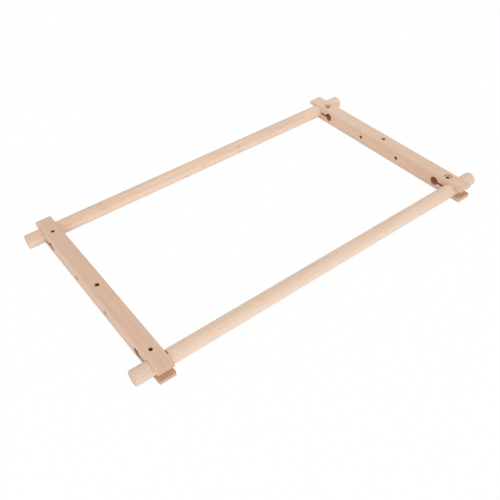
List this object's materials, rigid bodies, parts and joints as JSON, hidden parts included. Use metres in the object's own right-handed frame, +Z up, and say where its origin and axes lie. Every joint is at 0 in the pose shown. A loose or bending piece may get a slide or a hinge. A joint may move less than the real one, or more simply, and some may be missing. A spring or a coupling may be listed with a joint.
{
  "type": "quilting roller frame",
  "caption": "Flat hand-held wooden frame for quilting or tapestry: side rails whose saw-slit jaws grip round rollers, with empty clamp, stand and centre holes.",
  "frame": {"origin": "on the surface that the frame lies on, midway between the two rails and midway between the two rollers", "axes": "+X along the rollers to the right rail, +Y along the rails to the far roller, +Z up, out of the work's face"},
  "size_m": [0.6004, 0.34, 0.024],
  "materials": {
    "left_rail_wood": "bare sanded beech, darker and pinker board",
    "right_rail_wood": "bare sanded beech, lighter board",
    "roller_wood": "bare sanded beech dowel"
  },
  "bodies": {
    "left_rail": {"left_rail": "left_rail_wood"},
    "right_rail": {"right_rail": "right_rail_wood"},
    "near_roller": {"near_roller": "roller_wood"},
    "far_roller": {"far_roller": "roller_wood"}
  },
  "joints": [
    {"name": "near_roller_turn", "type": "hinge", "parent": "left_rail", "child": "near_roller", "pos_m": [-0.2645, -0.15, 0.012], "axis": [1, 0, 0], "continuous": true},
    {"name": "far_roller_turn", "type": "hinge", "parent": "left_rail", "child": "far_roller", "pos_m": [-0.2645, 0.15, 0.012], "axis": [1, 0, 0], "continuous": true},
    {"name": "right_rail_slide", "type": "slide", "parent": "left_rail", "child": "right_rail", "axis": [1, 0, 0], "range_m": [-0.5, 0.02]}
  ]
}
